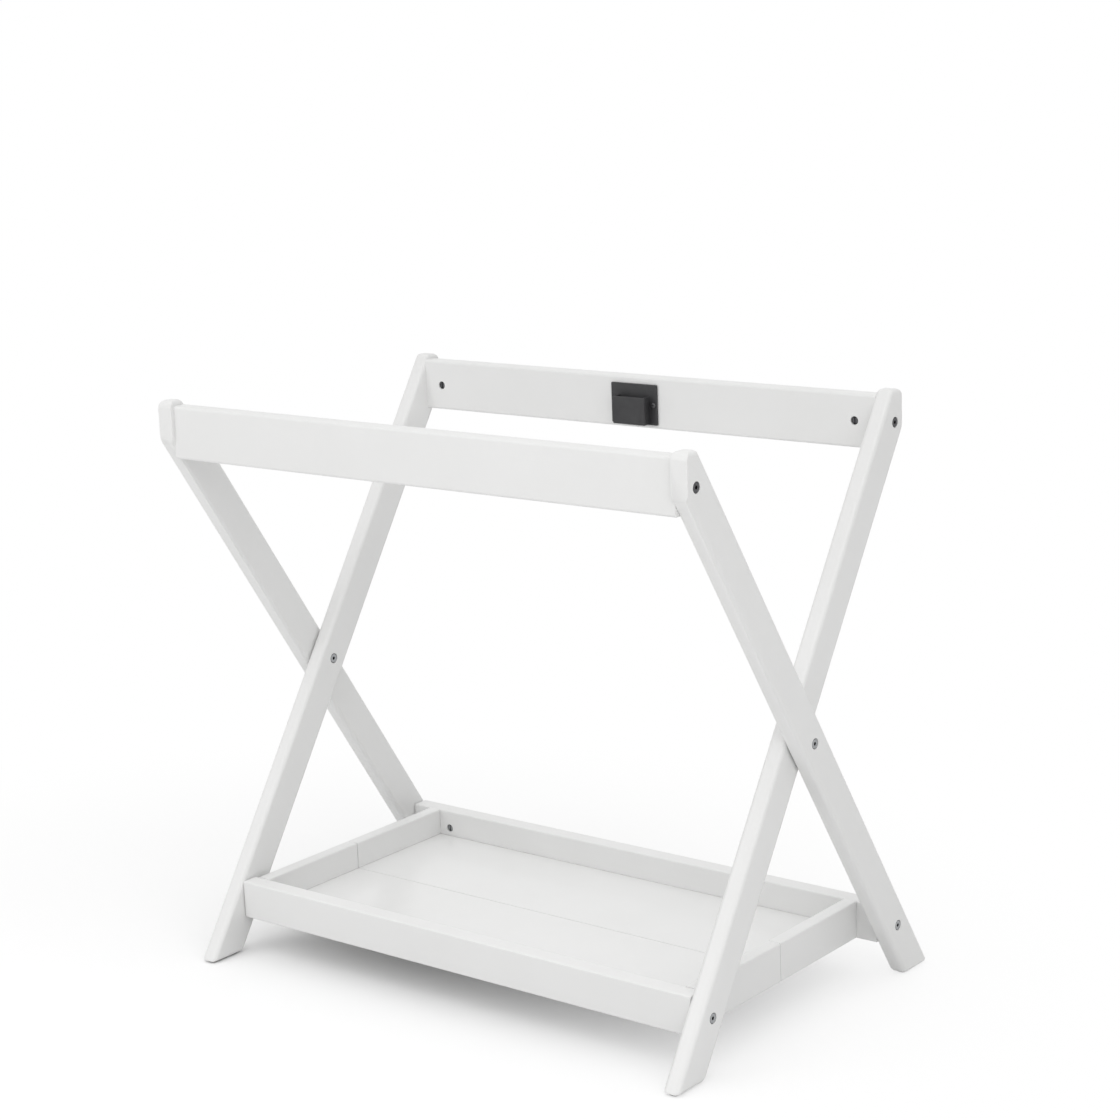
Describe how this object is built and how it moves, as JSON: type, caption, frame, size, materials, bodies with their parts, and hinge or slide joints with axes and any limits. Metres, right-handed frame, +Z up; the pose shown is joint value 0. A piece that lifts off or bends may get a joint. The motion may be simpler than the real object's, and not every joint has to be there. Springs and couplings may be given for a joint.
{
  "type": "bassinet stand",
  "caption": "Folding X-frame stand in white painted wood that carries a bassinet between its top rails, with a low storage tray that folds at its centre hinge.",
  "frame": {"origin": "on the floor, in the middle of the four feet, with the stand open", "axes": "+X along the top rails to the right, +Y from the front rail to the rear rail, +Z up"},
  "size_m": [0.8, 0.5022, 0.7257],
  "materials": {
    "white_satin_paint": "white satin paint on wood",
    "beech": "bare fluted hardwood",
    "zinc_plate": "bright zinc plate",
    "blackened_steel": "blackened steel, satin",
    "black_nylon": "moulded, fine grain",
    "white_nylon": "plain",
    "grey_glide": "pressed felt look"
  },
  "bodies": {
    "outer_frame": {"front_carrycot_socket": "black_nylon", "front_rail": "white_satin_paint", "front_rail_barrel_nut_left": "blackened_steel", "front_rail_barrel_nut_right": "blackened_steel", "front_rail_bolt_left": "blackened_steel", "front_rail_bolt_right": "blackened_steel", "front_rail_dowel_left": "beech", "front_rail_dowel_right": "beech", "front_socket_screw_left": "blackened_steel", "front_socket_screw_right": "blackened_steel", "outer_foot_glide_left": "grey_glide", "outer_foot_glide_right": "grey_glide", "outer_leg_left": "white_satin_paint", "outer_leg_right": "white_satin_paint", "pivot_bolt_left": "zinc_plate", "pivot_bolt_right": "zinc_plate", "pivot_sleeve_nut_left": "zinc_plate", "pivot_sleeve_nut_right": "zinc_plate", "pivot_washer_left": "white_nylon", "pivot_washer_right": "white_nylon", "rear_tray_bolt_head_left": "zinc_plate", "rear_tray_bolt_head_right": "zinc_plate"},
    "inner_frame": {"inner_foot_glide_left": "grey_glide", "inner_foot_glide_right": "grey_glide", "inner_leg_left": "white_satin_paint", "inner_leg_right": "white_satin_paint", "rear_carrycot_socket": "black_nylon", "rear_rail": "white_satin_paint", "rear_rail_barrel_nut_left": "blackened_steel", "rear_rail_barrel_nut_right": "blackened_steel", "rear_rail_bolt_left": "blackened_steel", "rear_rail_bolt_right": "blackened_steel", "rear_rail_dowel_left": "beech", "rear_rail_dowel_right": "beech", "rear_socket_screw_left": "blackened_steel", "rear_socket_screw_right": "blackened_steel"},
    "tray_front_half": {"front_corner_dowel_left": "beech", "front_corner_dowel_right": "beech", "front_hinge_leaf": "zinc_plate", "front_side_board_left": "white_satin_paint", "front_side_board_right": "white_satin_paint", "front_tray_barrel_nut_left": "zinc_plate", "front_tray_barrel_nut_right": "zinc_plate", "front_tray_board": "white_satin_paint", "front_tray_bolt_left": "zinc_plate", "front_tray_bolt_right": "zinc_plate", "front_tray_panel": "white_satin_paint", "hinge_pin": "zinc_plate"},
    "tray_rear_half": {"rear_corner_dowel_left": "beech", "rear_corner_dowel_right": "beech", "rear_hinge_leaf": "zinc_plate", "rear_side_board_left": "white_satin_paint", "rear_side_board_right": "white_satin_paint", "rear_tray_barrel_nut_left": "zinc_plate", "rear_tray_barrel_nut_right": "zinc_plate", "rear_tray_board": "white_satin_paint", "rear_tray_bolt_shank_left": "zinc_plate", "rear_tray_bolt_shank_right": "zinc_plate", "rear_tray_panel": "white_satin_paint"}
  },
  "joints": [
    {"name": "fold", "type": "hinge", "parent": "outer_frame", "child": "inner_frame", "pos_m": [0, 0, 0.3485], "axis": [1, 0, 0], "range_deg": [0, 57.65]},
    {"name": "front_board_turn", "type": "hinge", "parent": "inner_frame", "child": "tray_front_half", "pos_m": [0, -0.18094, 0.0708], "axis": [1, 0, 0], "range_deg": [0, 61.2]},
    {"name": "tray_fold", "type": "hinge", "parent": "tray_front_half", "child": "tray_rear_half", "pos_m": [0, 0, 0.04625], "axis": [1, 0, 0], "range_deg": [-180, 0]}
  ],
  "couplings": [
    {"joint": "front_board_turn", "follows": "fold", "ratio": 1.0604},
    {"joint": "tray_fold", "follows": "fold", "ratio": -3.1207}
  ]
}
